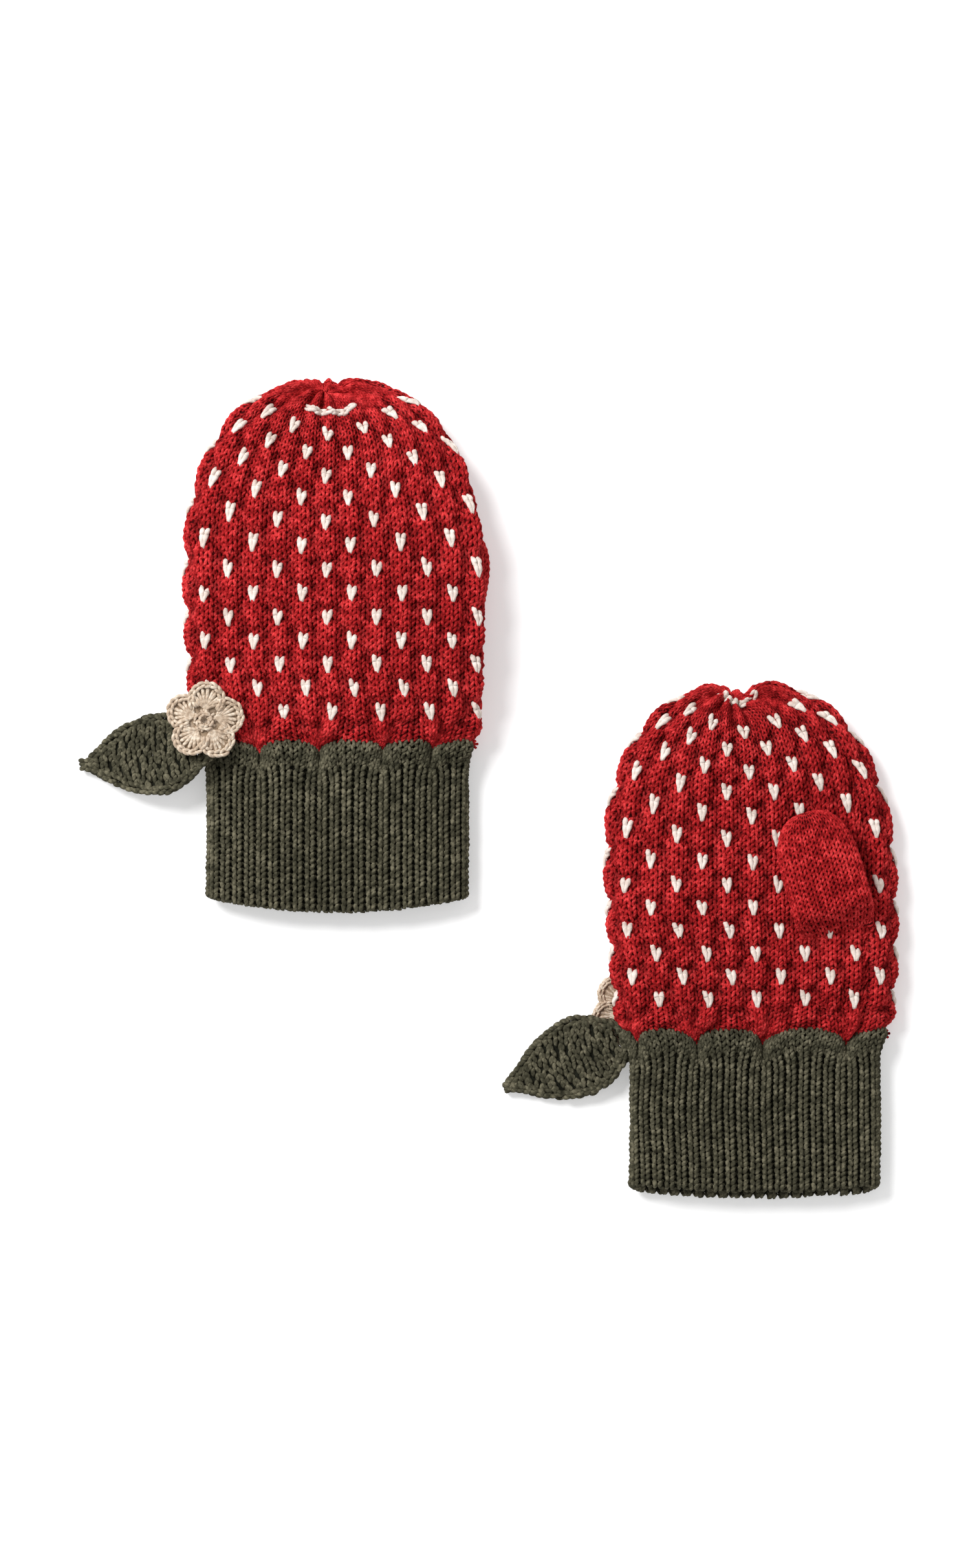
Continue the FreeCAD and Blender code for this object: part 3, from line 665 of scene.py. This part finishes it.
def shade_sheet(m, body, name, low, high, sink, material, point_of):
    """A thin closed sheet in the middle of the yarn, so that no light leaks through; its dark colour is
    painted shade in the gaps between the stitches.
    """
    rows, cols = 150, 300
    across = np.arange(cols) / cols
    along = np.linspace(low, high, rows)
    sheets = []
    for depth in (sink, sink - 0.25):
        turn, row = np.broadcast_arrays(across[None, :], along[:, None])
        point = point_of(turn, row, np.full(turn.shape, depth))[0]
        sheets.append(point + m.centre)
    verts = np.concatenate([sheets[0].reshape(-1, 3), sheets[1].reshape(-1, 3)])
    outer = grid_faces(rows, cols, True)
    inner = outer[:, ::-1] + rows * cols
    ring = np.arange(cols)
    ahead = np.roll(ring, -1)
    far = rows * cols
    low_rim = np.stack([ring + far, ahead + far, ahead, ring], axis=-1)
    last = (rows - 1) * cols
    high_rim = np.stack([last + ring, last + ahead, last + ahead + far, last + ring + far], axis=-1)
    quads = np.concatenate([outer, inner, low_rim, high_rim])
    uv = np.zeros((len(quads), 4, 2))
    return make_mesh(name, [(verts, quads, uv)], material, body)


# ---------------- the ribbed cuff
def cuff_point(m, rib, row, out):
    """A point of the cuff: rib counts round from the seam and row up from the hem."""
    turn = m.seam_turn + rib / m.ribs
    at_join = m.cloth.sample(np.full_like(turn, -m.cloth.start - m.cuff_length / 2), turn)[0]
    hem = m.cuff_length - m.hem_sag * (at_join[..., 0] / m.cuff_half_width) ** 2
    hem = hem - m.hem_step * ramp(np.sin(TAU * turn), -0.3, 0.3)
    edge = scallop(m, turn)
    top = m.scallop_height * (edge - 0.5)
    distance = -m.cloth.start - hem + (hem + top) * row / m.cuff_rows
    near_top = ramp(row, m.cuff_rows - 7.0, m.cuff_rows)
    turn = turn + pinch(m, turn) * near_top
    point, normal = m.cloth.sample(distance, turn)
    pulled = -3.0 * (1.0 - edge) ** 2 * ramp(row, m.cuff_rows - 4.5, m.cuff_rows)
    crest = 1.3 * edge * ramp(row, m.cuff_rows - 6.0, m.cuff_rows - 1.5)
    tucked = -2.6 * ramp(row, m.cuff_rows - 1.0, m.cuff_rows + 0.2)
    wave = 0.25 * np.sin(TAU * (3.0 * turn + 0.02 * row))
    height = out + pulled + crest + tucked + wave - RIB_SINK
    return point + normal * height[..., None], normal


def knit_cuff(m, body):
    """1x1 rib: each knit wale stands out and the purl wale between is folded behind it."""
    rng = np.random.default_rng(m.seed + 2)
    m.cuff_rows = int(m.cuff_length / RIB_ROW)
    t = np.linspace(0, TAU, STEPS, endpoint=False)
    x, y, z = knit_row(t)
    wales = 2 * m.ribs
    stitch = np.repeat(np.arange(wales), STEPS)
    purl = stitch % 2 == 1
    straight = np.tile(t / TAU - 0.5, wales)
    swing, up, face = np.tile(x, wales) - 0.5 - straight, np.tile(y, wales), np.tile(z, wales)
    pieces = []
    for row_ids in row_bands(m.cuff_rows, wales, STEPS, SIDES):
        shake = rng.normal(0, 1, (4, len(row_ids), wales))[:, :, stitch]
        # the last rows under the scallops are plain, so there the purl wales come forward
        plain = ramp(row_ids[:, None] + 0.0 * stitch, m.cuff_rows - 6.0, m.cuff_rows - 3.0)
        folded = purl * (1.0 - plain)
        width = 0.86 * (1.0 - 0.35 * folded) * (1.0 - 0.36 * plain)
        out = (0.45 + 0.45 * face) * (1.0 - folded) + (-1.35 - 0.35 * face) * folded
        across = straight + swing * (0.64 + 0.36 * plain)
        rows = row_ids[:, None] + 0.5 + up * (0.84 + 0.16 * plain + 0.06 * shake[0]) + 0.07 * shake[1]
        ribs = 0.5 * stitch + 0.25 + across * width + 0.014 * shake[2]
        point, normal = cuff_point(m, ribs, rows, out + 0.08 * shake[3])
        yarn = RIB_YARN * (0.84 + 0.16 * face) * (1.0 - 0.25 * plain)
        close = lambda values: np.concatenate([values, values[:, :1]], axis=1)
        part = sweep(close(point + m.centre), close(normal), close(yarn * np.ones_like(rows)), SIDES)
        pieces.append(make_mesh("%s_cuff_rows_%d" % (m.name, len(pieces) + 1), [part], GREEN, body))
    return pieces


# ---------------- the thumb
def thumb_cloth(m):
    straight = np.linspace(THUMB_BASE - 1.0, THUMB_CLOSING, 40)
    turn = np.linspace(0, math.pi / 2, 60)
    places = THUMB_CLOSING + (m.thumb_size[1] - THUMB_CLOSING) * np.sin(turn)
    return Cloth(lambda s, a: thumb_points(m, s, a), straight, places)


def thumb_point(m, wale, row, out):
    turn = wale / THUMB_WALES
    distance = row * m.thumb_row_height
    point, normal = m.thumb_cloth.sample(distance, turn)
    scale = np.clip(m.thumb_cloth.girth_at(distance) / THUMB_WALES / 2.1, 0.25, 1.0)
    return point + normal * (out * scale - 0.75)[..., None], normal, scale


def knit_thumb(m):
    rows = int(m.thumb_cloth.length / THUMB_ROW)
    m.thumb_row_height = (m.thumb_cloth.length - 0.8) / rows
    t = np.linspace(0, TAU * THUMB_WALES, 12 * THUMB_WALES + 1)
    x, y, z = knit_row(t)
    row = np.arange(rows)[:, None] + 0.5 + y[None, :]
    point, normal, scale = thumb_point(m, x[None, :] + 0 * row, row, 0.38 * z[None, :] + 0 * row)
    part = sweep(point + m.centre, normal, THUMB_YARN * scale, SIDES)
    return bend_at_base(make_mesh(m.name + "_thumb_knit", [part], RED, None))


def bend_at_base(piece):
    """Bakes the piece's placement into its mesh and returns it."""
    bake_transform(piece)
    return piece


# ---------------- crochet and sewn yarn
def along_path(path, places):
    """Points of an open path at the given shares of its length."""
    steps = np.linalg.norm(np.diff(path, axis=0), axis=1)
    reach = np.concatenate([[0.0], np.cumsum(steps)])
    return np.stack([np.interp(places * reach[-1], reach, path[:, axis]) for axis in range(3)], axis=-1)


def path_length(path):
    return np.linalg.norm(np.diff(path, axis=0), axis=1).sum()


def chain(path, up, width, pitch, yarn, rng, rough=0.06):
    """A chain of stitches along a path: two leaning legs to a link, seen from the up side."""
    length = path_length(path)
    links = max(1, round(length / pitch))
    u = np.linspace(0, 1, 8)
    parts = []
    for side in (-1, 1):
        share = (np.arange(links)[:, None] - 0.25 + 1.4 * u[None, :]) / links
        inside = np.clip(share, 0.0, 1.0)
        centre = along_path(path, inside)
        before, after = (np.clip(inside + step, 0, 1) for step in (-0.01, 0.01))
        ahead = along_path(path, after) - along_path(path, before)
        ahead /= np.maximum(np.linalg.norm(ahead, axis=-1, keepdims=True), 1e-9)
        facing = np.broadcast_to(up, centre.shape)
        across = np.cross(ahead, facing)
        across /= np.maximum(np.linalg.norm(across, axis=-1, keepdims=True), 1e-9)
        shake = rng.normal(0, rough, (2, links, 1))
        swing = side * width * (0.03 + 0.27 * np.sin(math.pi * u * 0.6) + shake[0])
        height = yarn * (1.1 * np.sin(math.pi * u) ** 0.7 - 0.35) + shake[1]
        points = centre + across * swing[..., None] + facing * height[..., None]
        fat = yarn * (0.45 + 0.55 * np.sin(math.pi * u) ** 0.6)
        parts.append(sweep(points, facing, np.broadcast_to(fat, swing.shape), 7))
    return parts


def strand(points, yarn, up=(0.0, 0.0, 1.0), sides=8):
    """One yarn through the points, smoothed and closed to a blunt point at both ends."""
    points = np.asarray(points, float)
    count = 8 * len(points)
    knots = np.linspace(0, 1, len(points))
    fine = np.linspace(0, 1, count)
    smooth = np.stack([np.interp(fine, knots, points[:, axis]) for axis in range(3)], axis=-1)
    for _ in range(6):
        smooth[1:-1] = (smooth[:-2] + 2 * smooth[1:-1] + smooth[2:]) / 4
    ends = np.clip(np.minimum(fine, 1 - fine) * count / 3.0, 0, 1)
    fat = yarn * np.sqrt(1.0 - 0.97 * (1.0 - ends) ** 2)
    up = np.broadcast_to(np.asarray(up, float), smooth.shape)
    return [sweep(smooth[None], up[None], fat[None], sides)]


def moved(parts, turn, shift, tilt=0.0, flip=False):
    """Parts turned over, tilted about Y, turned about Z and moved."""
    matrix = np.eye(3)
    if flip:
        matrix = np.diag([1.0, -1.0, -1.0])
    c, s = math.cos(tilt), math.sin(tilt)
    matrix = np.array([[c, 0, s], [0, 1, 0], [-s, 0, c]]) @ matrix
    c, s = math.cos(turn), math.sin(turn)
    matrix = np.array([[c, -s, 0], [s, c, 0], [0, 0, 1]]) @ matrix
    return [(verts @ matrix.T + shift, quads, uv) for verts, quads, uv in parts]


def sheet(outline, centre, thickness, rings=5):
    """A thin closed disc that fills a closed outline."""
    shares = np.linspace(0.02, 1.0, rings)
    top = centre + (outline[None] - centre) * shares[:, None, None]
    lift = np.array([0, 0, thickness / 2])
    verts = np.concatenate([(top + lift).reshape(-1, 3), (top - lift).reshape(-1, 3)])
    count = len(outline)
    upper = grid_faces(rings, count, True)
    lower = upper[:, ::-1] + rings * count
    edge = np.arange(count) + (rings - 1) * count
    ahead = np.roll(edge, -1)
    rim = np.stack([edge, ahead, ahead + rings * count, edge + rings * count], axis=-1)
    hub = np.arange(count)
    hub_ahead = np.roll(hub, -1)
    inner = np.stack([hub + rings * count, hub_ahead + rings * count, hub_ahead, hub], axis=-1)
    quads = np.concatenate([upper, lower, rim, inner])
    return verts, quads, np.zeros((len(quads), 4, 2))


def petal_point(turn, beta, radius, height):
    """A point in a petal: beta turns about the petal's own middle from its outward axis."""
    c, s = math.cos(turn), math.sin(turn)
    x = PETAL_PLACE + radius * np.cos(beta)
    y = radius * np.sin(beta)
    return np.stack([x * c - y * s, x * s + y * c, height + 0 * x], axis=-1)


def crochet_flower(m, body):
    """Five petals of fanned posts, each with a braided rim, round a small ring."""
    rng = np.random.default_rng(m.seed + 3)
    up = np.array([0.0, 0.0, 1.0])
    yarns, petal_shade_parts = [], []
    for index in range(5):
        turn = math.radians(m.flower_turn + 72.0 * index)
        lift = 0.25 * (index % 2)
        beta = np.linspace(-2.25, 2.25, 40)
        rim = petal_point(turn, beta, PETAL_RADIUS - 0.55 + 0 * beta, 1.15 + lift)
        yarns += chain(rim, up, 2.1, 1.75, 0.52, rng)
        under = petal_point(turn, beta, PETAL_RADIUS - 0.75 + 0 * beta, 0.55 + lift)
        yarns += chain(under, -up, 1.6, 1.9, 0.38, rng)
        for post in range(9):
            spread = (post - 4.0) / 4.0
            wobble = rng.normal(0, 0.05, 3)
            start = petal_point(turn, np.array(math.pi + 0.25 * spread), np.array(3.55), 0.85)
            outer = petal_point(turn, np.array(1.85 * spread + wobble[0]), np.array(3.5), 1.0 + lift)
            middle = 0.5 * (start + outer) + np.array([0, 0, 0.32 + wobble[1]])
            bow = petal_point(turn, np.array(2.1 * spread), np.array(1.2), 1.2)
            middle = 0.75 * middle + 0.25 * bow
            yarns += strand([start, middle, outer], 0.50 + 0.3 * abs(wobble[2]))
        # a dark sheet under each petal's stitches, as painted shade
        angle = np.linspace(0, TAU, 48, endpoint=False)
        outline = petal_point(turn, angle, PETAL_RADIUS - 0.5 + 0 * angle, 0.75)
        outline[:, 2] = 0.7 + 0.06 * index
        middle = petal_point(turn, np.array(0.0), np.array(0.0), 0.7 + 0.06 * index)
        petal_shade_parts.append(sheet(outline, middle, 0.05))
    angle = np.linspace(0, TAU, 60)
    ring = np.stack([1.95 * np.cos(angle), 1.95 * np.sin(angle), 1.5 + 0 * angle], axis=-1)
    yarns += chain(ring, up, 1.9, 1.5, 0.46, rng, rough=0.1)
    for spoke in range(10):
        turn = TAU * (spoke + 0.3 * rng.random()) / 10
        c, s = math.cos(turn), math.sin(turn)
        far = 3.2 + 0.5 * rng.random()
        places = [(r * c, r * s, z) for r, z in ((0.7, 1.0), (1.9, 1.55), (far, 1.1))]
        yarns += strand(places, 0.40)
    angle = angle[:-1]
    circle = np.stack([4.6 * np.cos(angle), 4.6 * np.sin(angle), 0.35 + 0 * angle], axis=-1)
    yarns.append(sheet(circle, np.array([0.0, 0.0, 0.35]), 0.3))
    # the side over the fabric sags on to it, and the leaf holds the other side up
    for verts, _, _ in yarns + petal_shade_parts:
        verts[:, 2] -= m.droop * ramp(verts[:, 0], -1.0, 9.0)
    shift = np.array([m.flower_x, FLOWER_Y, m.flower_z - m.settle]) + m.centre
    flip = m.up < 0
    yarn_piece = make_mesh(m.name + "_flower_yarn", moved(yarns, 0.0, shift, flip=flip), BEIGE, body)
    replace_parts(yarn_piece, m.name + "_flower")
    make_mesh(m.name + "_flower_shade_backing", moved(petal_shade_parts, 0.0, shift, flip=flip), SHADED_BEIGE, body)


def leaf_outline():
    """The leaf's upper edge from its sewn end to its tip, smooth through the given points."""
    points = np.array([(-2.6, 0.0)] + LEAF_HALF_OUTLINE + [(38.5, 0.0)])
    knots = np.arange(len(points))
    fine = np.linspace(0, len(points) - 1, 200)
    curve = np.stack([np.interp(fine, knots, points[:, axis]) for axis in (0, 1)], axis=-1)
    for _ in range(260):
        curve[1:-1] = (curve[:-2] + 2 * curve[1:-1] + curve[2:]) / 4
    return curve


def inside_edge(edge, distance):
    """The leaf's edge drawn in square to itself."""
    along = np.gradient(edge, axis=0)
    along /= np.maximum(np.linalg.norm(along, axis=1, keepdims=True), 1e-9)
    inset = edge + distance * np.stack([along[:, 1], -along[:, 0]], axis=-1)
    inset[:, 1] = np.maximum(inset[:, 1], 0.0)
    return inset


def leaf_bend(points):
    """The leaf arches a little across its width and its tip curls."""
    s, w = points[..., 0], points[..., 1]
    z = points[..., 2] + 0.5 - 0.006 * w ** 2 + 0.35 * np.sin(s / 7.0)
    return np.stack([s, w, z], axis=-1)


def crochet_leaf(m, body):
    """Rows of stitches across the leaf inside a rim of chain stitches, on both faces."""
    rng = np.random.default_rng(m.seed + 4)
    edge = leaf_outline()
    parts = []
    for face in (1, -1):
        up = np.array([0.0, 0.0, float(face)])
        for side in (1, -1):
            inset = inside_edge(edge, 1.0)
            rim = np.stack([inset[:, 0], side * inset[:, 1], np.full(len(edge), 0.25 * face)], axis=-1)
            parts += chain(leaf_bend(rim), up, 2.7, 1.9, 0.74, rng, rough=0.10)
        for place in np.arange(1.2, 35.5, 2.95):
            half = np.interp(place, edge[:, 0], edge[:, 1]) - 1.7
            if half > 0.8:
                w = np.linspace(-half, half, 30)
                row = np.stack([place - 0.012 * w ** 2, w, np.full(30, 0.3 * face)], axis=-1)
                parts += chain(leaf_bend(row), up, 2.5, 1.75, 0.68, rng, rough=0.12)
    # a dark sheet inside the leaf's stitches, as painted shade
    inset = inside_edge(edge, 0.8)
    inset = inset[inset[:, 0] > 4.0]
    outline = np.concatenate([inset, inset[-2::-1] * np.array([1, -1])])
    outline = np.concatenate([outline, np.zeros((len(outline), 1))], axis=1)
    leaf_shade_parts = [sheet(outline, np.array([16.0, 0.0, 0.0]), 0.5, rings=12)]
    leaf_shade_parts = [(leaf_bend(verts), quads, uv) for verts, quads, uv in leaf_shade_parts]
    drop = m.leaf_z - m.settle - LEAF_THICKNESS / 2 - 0.3
    tilt = math.asin(drop / 38.5)
    shift = np.array([m.leaf_x, 0.0, m.leaf_z - m.settle]) + m.centre
    turn = math.radians(m.leaf_turn)
    yarn_piece = make_mesh(m.name + "_leaf_yarn", moved(parts, turn, shift, tilt), GREEN, body)
    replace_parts(yarn_piece, m.name + "_leaf")
    make_mesh(m.name + "_leaf_backing", moved(leaf_shade_parts, turn, shift, tilt), SHADED_GREEN, body)


def face_height(m, x, y, up):
    """Height of the CAD tube's outer face over or under a point."""
    middle = m.tip_shift * ramp(y, 0.0, m.hand_length)
    across = min(abs(x - middle) / float(half_width(m, np.array(y))), 1.0)
    crown = (1.0 - across ** SECTION_POWER) ** (1.0 / SECTION_POWER)
    z = middle_z(m, np.array(float(x)), np.array(float(y)), np.array(up * crown))
    return float(z + up * half_thickness(m, np.array(float(y))) * crown)


def sewn_yarn(m, body):
    """The side seam, the closing at the fingertips, and the small sewing stitches."""
    rng = np.random.default_rng(m.seed + 5)

    def sew(name, parts, material, node):
        parts = [(verts + m.centre, quads, uv) for verts, quads, uv in parts]
        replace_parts(make_mesh(m.name + name, parts, material, body), m.name + node)

    points, links = 160, 26
    rows = np.linspace(1.0, 0.86 * m.rows, points)
    path, normal, _ = hand_point(m, np.zeros(points), rows, np.full(points, 0.55))
    seam = []
    for first in range(0, points - 8, points // links):
        near, far = path[first], path[first + 6]
        out = normal[first + 3]
        side = np.cross(far - near, out)
        side /= max(np.linalg.norm(side), 1e-9)
        lean = 0.75 + 0.1 * rng.normal()
        middle = 0.5 * (near + far) + out * 0.35
        seam += strand([near - side * lean, middle, far + side * lean], 0.36, up=out)
    sew("_side_seam_yarn", seam, RED, "_side_seam")

    edge = float(half_width(m, np.array(0.0)))
    z = float(middle_z(m, np.array(edge), np.array(0.0), np.array(0.0)))
    end = []
    for out, up, high in ((1.3, 1.9, 0.7), (2.1, 0.9, -0.2), (1.5, -0.4, 0.5), (0.7, 2.4, -0.6)):
        bend = (edge + 0.5 * out - 0.2, 0.6 * up + 0.3, z + high)
        end += strand([(edge - 2.2, 0.2, z), bend, (edge + out - 0.4, up, z + 0.5 * high)], 0.38)
    sew("_seam_yarn_tail", end, RED, "_seam_yarn_end")

    pole = hand_point(m, np.array([0.0]), np.array([float(m.rows)]), np.array([0.0]))[0][0]
    pole = pole + np.array([0.0, 2.6, 0.2] if m.notch == 0.0 else [0.0, -0.4, -1.2])
    knot = []
    for index in range(5):
        turn = TAU * index / 5 + 0.4
        first, last = (
            pole + 0.9 * np.array([math.cos(place), 0.3 * math.sin(place), 0.7 * math.sin(place)])
            for place in (turn, turn + 2.4)
        )
        top = pole + np.array([0.0, 1.1, 0.35 * (index % 2)])
        knot += strand([first, top, last], 0.45)
    sew("_fingertip_knot", knot, RED, "_fingertip_closing")

    angle = np.linspace(0, TAU, 60)
    height = face_height(m, m.thumb[0], m.thumb[1], -m.up) + m.up * 1.2
    x, y = m.thumb[0] + 5.3 * np.cos(angle), m.thumb[1] + 5.3 * np.sin(angle)
    ring = np.stack([x, y, height + 0 * angle], axis=-1)
    picked = chain(ring, np.array([0.0, 0.0, -float(m.up)]), 1.3, 1.8, 0.34, rng)
    sew("_thumb_opening_round", picked, RED, "_thumb_pickup_stitches")

    def post(x, y):
        low, high = sorted((face_height(m, x, y, m.up), m.flower_z - 0.6 * m.droop))
        return strand([(x, y, low), (x + 0.2, y, 0.5 * (low + high)), (x, y, high)], 0.4, up=(1, 0, 0))

    tacks = []
    for x, y in ((6.0, -1.0), (6.0, 2.5), (3.5, 5.0)):
        tacks += post(m.flower_x + x, FLOWER_Y + y)
    sew("_flower_sewing", tacks, BEIGE, "_flower_tack_stitches")
    sew("_leaf_sewing", post(m.leaf_x, 0.0), GREEN, "_leaf_tack_stitch")


# ---------------- scene
def build(m):
    m.cloth = hand_cloth(m)
    body = m.name + "_mitten"
    hand = knit_hand(m, body)
    hearts = knit_hearts(m, body)
    cuff = knit_cuff(m, body)
    # dark sheets under the knitting: painted shade in the gaps between the stitches
    shade_sheet(
        m, body, m.name + "_hand_shade_backing", 0.6, m.rows - 0.3, -0.15, SHADED_RED,
        lambda u, v, out: hand_point(m, u * m.wales, v, out))
    shade_sheet(
        m, body, m.name + "_cuff_shade_backing", 0.4, m.cuff_rows - 0.4, -0.5, SHADED_GREEN,
        lambda u, v, out: cuff_point(m, u * m.ribs, v, out))
    m.thumb_cloth = thumb_cloth(m)
    thumb = knit_thumb(m)
    thumb_rows = int(m.thumb_cloth.length / THUMB_ROW)
    # the thumb's dark sheet: painted shade in the gaps between its stitches
    thumb_shade_piece = shade_sheet(
        m, None, m.name + "_thumb_shade_backing", 0.3, thumb_rows - 0.3, -0.1, SHADED_RED,
        lambda u, v, out: thumb_point(m, u * THUMB_WALES, v, out))
    bend_at_base(thumb_shade_piece)
    crochet_flower(m, body)
    crochet_leaf(m, m.name + "_leaf")
    sewn_yarn(m, body)
    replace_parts(hand[0], m.name + "_hand")
    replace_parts(hearts, m.name + "_heart_stitches")
    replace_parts(cuff[0], m.name + "_cuff")
    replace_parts(thumb, m.name + "_thumb")


def studio():
    """Pale floor, broad soft light from the upper left and a camera straight above."""
    def add(name, data):
        thing = bpy.data.objects.new(name, data)
        bpy.context.scene.collection.objects.link(thing)
        return thing

    half = 3.0
    corners = [(-half, -half, 0), (half, -half, 0), (half, half, 0), (-half, half, 0)]
    floor = bpy.data.meshes.new("floor")
    floor.from_pydata(corners, [], [(0, 1, 2, 3)])
    pale = bpy.data.materials.new("pale_floor")
    pale.use_nodes = True
    set_inputs(pale.node_tree.nodes["Principled BSDF"], {
        "Base Color": (0.93, 0.93, 0.93, 1), "Roughness": 0.9,
        "Emission Color": (1, 1, 1, 1), "Emission Strength": 0.30})
    floor.materials.append(pale)
    ground = add("floor", floor)

    world = bpy.data.worlds.new("studio")
    bpy.context.scene.world = world
    world.use_nodes = True
    set_inputs(world.node_tree.nodes["Background"], {"Color": (1, 1, 1, 1), "Strength": 0.55})
    key = bpy.data.lights.new("key", "AREA")
    key.shape = "DISK"
    key.size = 0.7
    key.energy = 24.0
    lamp = add("key", key)
    lamp.location = (-0.75, 0.75, 1.1)
    lamp.rotation_euler = (-lamp.location).to_track_quat("-Z", "Y").to_euler()

    camera = bpy.data.cameras.new("camera")
    camera.sensor_fit = "VERTICAL"
    camera.sensor_height = SENSOR
    camera.lens = SENSOR * (CAMERA_DISTANCE - CAMERA_TARGET) / CAMERA_SEEN
    view = add("camera", camera)
    view.location = (-0.0002, 0.0004, CAMERA_DISTANCE)
    bpy.context.scene.camera = view
    bpy.context.scene.view_settings.view_transform = "Standard"


studio()
for mitten in (LEFT, RIGHT):
    build(mitten)
